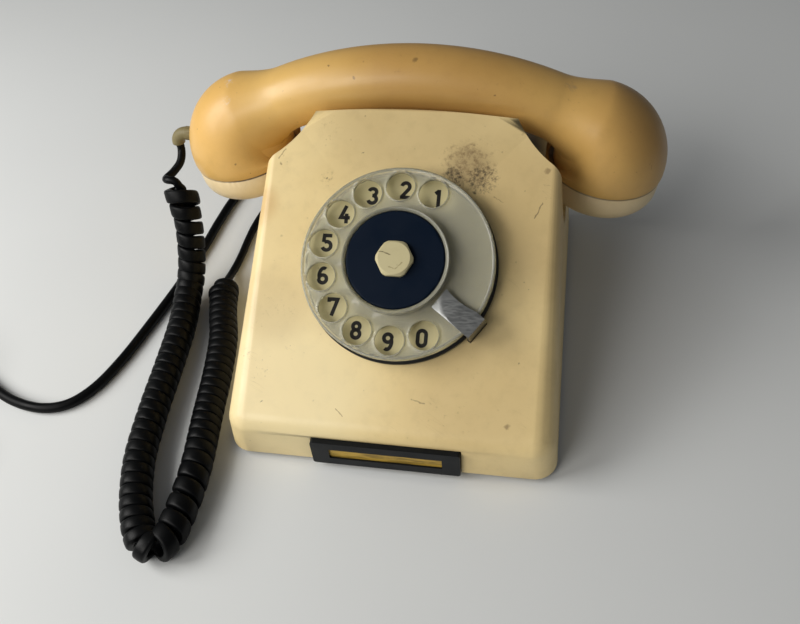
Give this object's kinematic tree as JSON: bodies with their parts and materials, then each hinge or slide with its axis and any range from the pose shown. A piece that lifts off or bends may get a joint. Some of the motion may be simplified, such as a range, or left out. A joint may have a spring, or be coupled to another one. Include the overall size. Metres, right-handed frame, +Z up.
{
  "type": "rotary dial telephone",
  "caption": "Desk telephone in aged ivory plastic with a clear ten-hole rotary dial, a handset across the top, a coiled handset cord and a line cord.",
  "frame": {"origin": "centre of the telephone without its cords, on the surface that the feet stand on; the handset's middle lies over it", "axes": "+Z up, +X to the right of someone who faces the dial, the dial and the label look towards -Y"},
  "size_m": [0.3968, 0.2701, 0.117],
  "materials": {
    "housing": "yellowed ivory thermoplastic, semi-gloss, worn and soiled",
    "handset": "ivory plastic aged to amber, semi-gloss, scuffed",
    "cap": "cream plastic, semi-gloss",
    "wheel": "clear moulded plastic, slightly clouded",
    "black": "black plastic, semi-gloss",
    "navy": "very dark blue plastic, glossy",
    "plate": "grey-beige lacquered disc with black figures",
    "strip": "ochre card, blank",
    "steel": "satin steel",
    "brass": "plain brass",
    "copper": "varnished copper winding",
    "board": "brown resin-bonded paper",
    "grey": "grey moulded plastic",
    "olive": "olive-beige flexible sleeve",
    "cord": "black flexible cord sheath",
    "rubber": "black rubber"
  },
  "bodies": {
    "base": {"housing": "housing", "base_plate": "black", "feet": "rubber", "base_screws": "steel", "label_frame": "black", "label_strip": "strip", "dial_surround": "black", "number_plate": "plate", "finger_stop": "steel", "dial_frame": "steel", "bearing_plate": "steel", "dial_screws": "steel", "return_spring": "steel", "pulse_contacts": "brass", "governor_cup": "brass", "hook_bracket": "steel", "hook_spring": "steel", "hook_contacts": "brass", "ringer_yoke": "steel", "ringer_coils": "copper", "ringer_bracket": "steel", "gong_large": "brass", "gong_small": "brass", "gong_posts": "steel", "circuit_board": "board", "induction_coil": "steel", "capacitor": "strip", "terminal_block": "black", "handset_lead": "cord", "handset_cord": "cord", "handset_tail": "cord", "handset_cord_gland": "cord", "line_cord_gland": "cord", "line_cord": "cord", "line_cord_coil": "cord", "cord_tie": "grey", "line_plug": "black"},
    "dial": {"finger_wheel": "wheel", "wheel_hub": "brass", "hub_nut": "brass", "centre_disc": "navy", "centre_cap": "cap", "dial_shaft": "steel", "drive_gear": "brass", "pulse_cam": "board"},
    "idler": {"idler_gear": "steel"},
    "governor": {"governor_spindle": "steel", "governor_carrier": "brass"},
    "governor_weight_a": {"weight_a": "steel"},
    "governor_weight_b": {"weight_b": "steel"},
    "cradle": {"cradle_plungers": "cap", "plunger_bridge": "black"},
    "hook": {"hook_lever": "grey"},
    "striker": {"clapper": "steel"},
    "handset": {"handset_shell": "handset", "ear_cap": "cap", "mouth_cap": "cap", "receiver_capsule": "steel", "microphone_capsule": "black", "handset_gland": "olive"}
  },
  "joints": [
    {"name": "dial_turn", "type": "hinge", "parent": "base", "child": "dial", "pos_m": [0.003, -0.02516, 0.06114], "axis": [0, -0.5461, 0.8377], "range_deg": [-318, 0], "stiffness_Nm_per_rad": 0.004, "springref_deg": 114.59},
    {"name": "idler_turn", "type": "hinge", "parent": "base", "child": "idler", "pos_m": [-0.02068, -0.03238, 0.05643], "axis": [0, -0.5461, 0.8377], "range_deg": [0, 1591]},
    {"name": "governor_turn", "type": "hinge", "parent": "base", "child": "governor", "pos_m": [-0.0168, -0.04451, 0.04852], "axis": [0, -0.5461, 0.8377], "range_deg": [-7952, 0]},
    {"name": "weight_a_swing", "type": "hinge", "parent": "governor", "child": "governor_weight_a", "pos_m": [-0.0222, -0.03359, 0.03176], "axis": [0, -0.5461, 0.8377], "range_deg": [0, 3]},
    {"name": "weight_b_swing", "type": "hinge", "parent": "governor", "child": "governor_weight_b", "pos_m": [-0.0114, -0.03359, 0.03176], "axis": [0, -0.5461, 0.8377], "range_deg": [0, 3]},
    {"name": "handset_lift", "type": "slide", "parent": "base", "child": "handset", "axis": [0, 0, 1], "range_m": [0, 0.1]},
    {"name": "cradle_rise", "type": "slide", "parent": "base", "child": "cradle", "axis": [0, 0, 1], "range_m": [0, 0.006]},
    {"name": "hook_rock", "type": "hinge", "parent": "base", "child": "hook", "pos_m": [0.003, 0.03, 0.0625], "axis": [1, 0, 0], "range_deg": [0, 14]},
    {"name": "striker_rock", "type": "hinge", "parent": "base", "child": "striker", "pos_m": [0.003, 0.04, 0.029], "axis": [0, 1, 0], "range_deg": [-3.8, 3.8]}
  ],
  "couplings": [
    {"joint": "idler_turn", "follows": "dial_turn", "ratio": -5},
    {"joint": "governor_turn", "follows": "dial_turn", "ratio": 25},
    {"joint": "cradle_rise", "follows": "handset_lift", "ratio": 0.06},
    {"joint": "hook_rock", "follows": "handset_lift", "rad_per_m": 2.4432}
  ]
}
